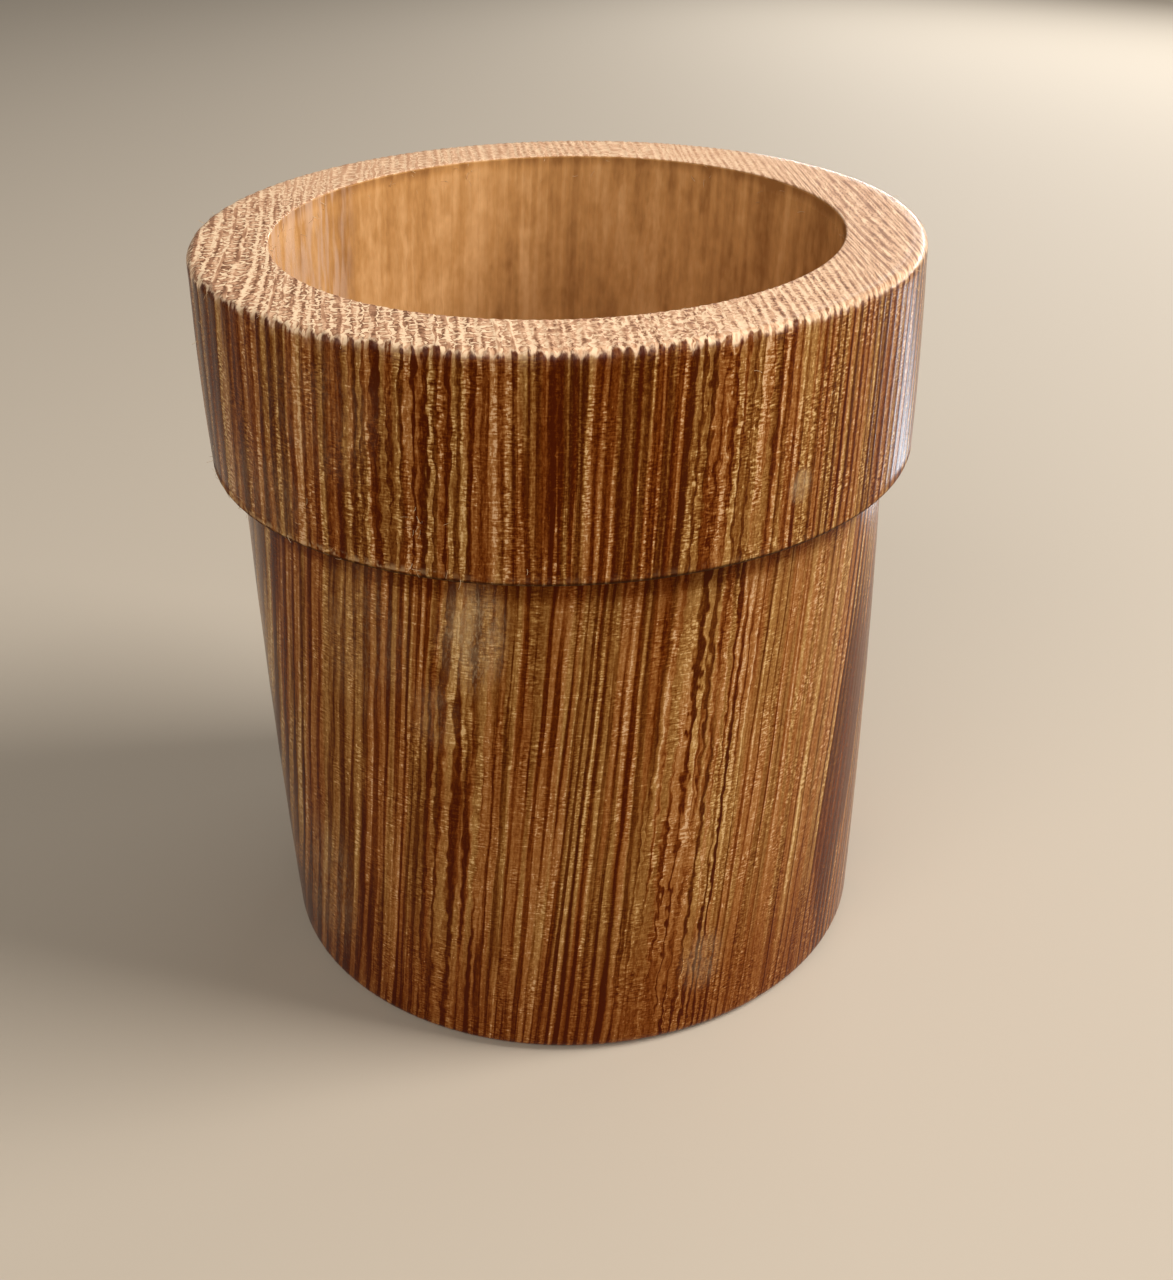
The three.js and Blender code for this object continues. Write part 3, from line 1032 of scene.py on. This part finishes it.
# %% Lay the fibres on the collar
def fibre_finish():
    """Bare wood, from tan to cream."""
    material = bpy.data.materials.new("bare_fibre")
    material.use_nodes = True
    tree = material.node_tree
    tree.nodes.clear()
    place = stretch(tree, add(tree, "ShaderNodeTexCoord").outputs["Object"], TO_MM)
    tones = ((0.3, (0.42, 0.26, 0.12)), (0.5, (0.60, 0.42, 0.23)), (0.7, (0.80, 0.62, 0.40)))
    colour = toned(tree, noise(tree, place, (1.6, 1.6, 1.6)), tones)
    shader = add(tree, "ShaderNodeBsdfPrincipled", {"Base Color": colour, "Roughness": 0.6})
    add(tree, "ShaderNodeOutputMaterial", {"Surface": shader.outputs[0]})
    return material


fibres = bpy.data.objects.new("torn_fibres", pieces["collar"].data.copy())
bpy.context.collection.objects.link(fibres)
FIBRE_SIZES = {"Thickness": 0.03, "Shortest": 0.25 * MM, "Longest": 1.0 * MM, "Seed": 4}
run_tree(fibres, fibre_tree(), Finish=fibre_finish(), **FIBRE_SIZES)
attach(fibres, "root")
print("fibre faces:", len(fibres.data.polygons))

# %% [markdown]
# ## Floor and light
# A plain pale floor and soft lamps. In the photograph the light falls from the right and from behind,
# with a softer fill from the front. So a large lamp hangs high on the right, and a weaker one stands in
# front on the left. A long low lamp shines from behind on the right, and a small strip by the floor draws
# the cool streak on the collar's right edge.

# %% Set the floor
FLOOR_HALF = 6.0
FLOOR_LEVEL = -0.03 * MM  # a hair below the foot, so that the two faces don't lie in one plane
corners = [(-FLOOR_HALF, -FLOOR_HALF, FLOOR_LEVEL), (FLOOR_HALF, -FLOOR_HALF, FLOOR_LEVEL),
           (FLOOR_HALF, FLOOR_HALF, FLOOR_LEVEL), (-FLOOR_HALF, FLOOR_HALF, FLOOR_LEVEL)]
floor_mesh = bpy.data.meshes.new("floor")
floor_mesh.from_pydata(corners, [], [(0, 1, 2, 3)])
floor = bpy.data.objects.new("floor", floor_mesh)
bpy.context.collection.objects.link(floor)
pale_floor = bpy.data.materials.new("pale_floor")
pale_floor.use_nodes = True
floor_paint = pale_floor.node_tree.nodes["Principled BSDF"].inputs
floor_paint["Base Color"].default_value = (0.56, 0.48, 0.385, 1.0)
floor_paint["Roughness"].default_value = 0.7
floor_paint["Specular IOR Level"].default_value = 0.15
floor_mesh.materials.append(pale_floor)
print("floor", 2 * FLOOR_HALF, "m wide")


# %% Hang the lamps
def soft_lamp(name, place, target, width, height, power, colour):
    lamp = bpy.data.lights.new(name, "AREA")
    lamp.shape = "RECTANGLE"
    lamp.size = width
    lamp.size_y = height
    lamp.energy = power
    lamp.color = colour
    obj = bpy.data.objects.new(name, lamp)
    obj.location = place
    obj.rotation_euler = (Vector(target) - Vector(place)).to_track_quat("-Z", "Y").to_euler()
    bpy.context.collection.objects.link(obj)
    print("lamp", name, power, "W")


middle = (0.0, 0.0, cup_height / 2)
soft_lamp("right_lamp", (0.80, -0.10, 0.74), middle, 0.5, 0.6, 13.5, (1.0, 0.98, 0.95))
soft_lamp("front_lamp", (-0.32, -0.82, 0.56), middle, 0.9, 0.9, 6.2, (1.0, 0.96, 0.9))
soft_lamp("back_lamp", (0.46, 0.60, 0.19), middle, 0.8, 0.04, 2.4, (0.92, 0.96, 1.0))
soft_lamp("edge_strip", (0.185, 0.14, 0.004), (0.16, 0.12, 1.0), 0.04, 0.16, 0.092, (0.7, 0.85, 1.0))

world = bpy.data.worlds.new("studio")
bpy.context.scene.world = world
world.use_nodes = True
sky = world.node_tree.nodes["Background"].inputs
sky["Color"].default_value = (0.8, 0.78, 0.75, 1.0)
sky["Strength"].default_value = 0.15
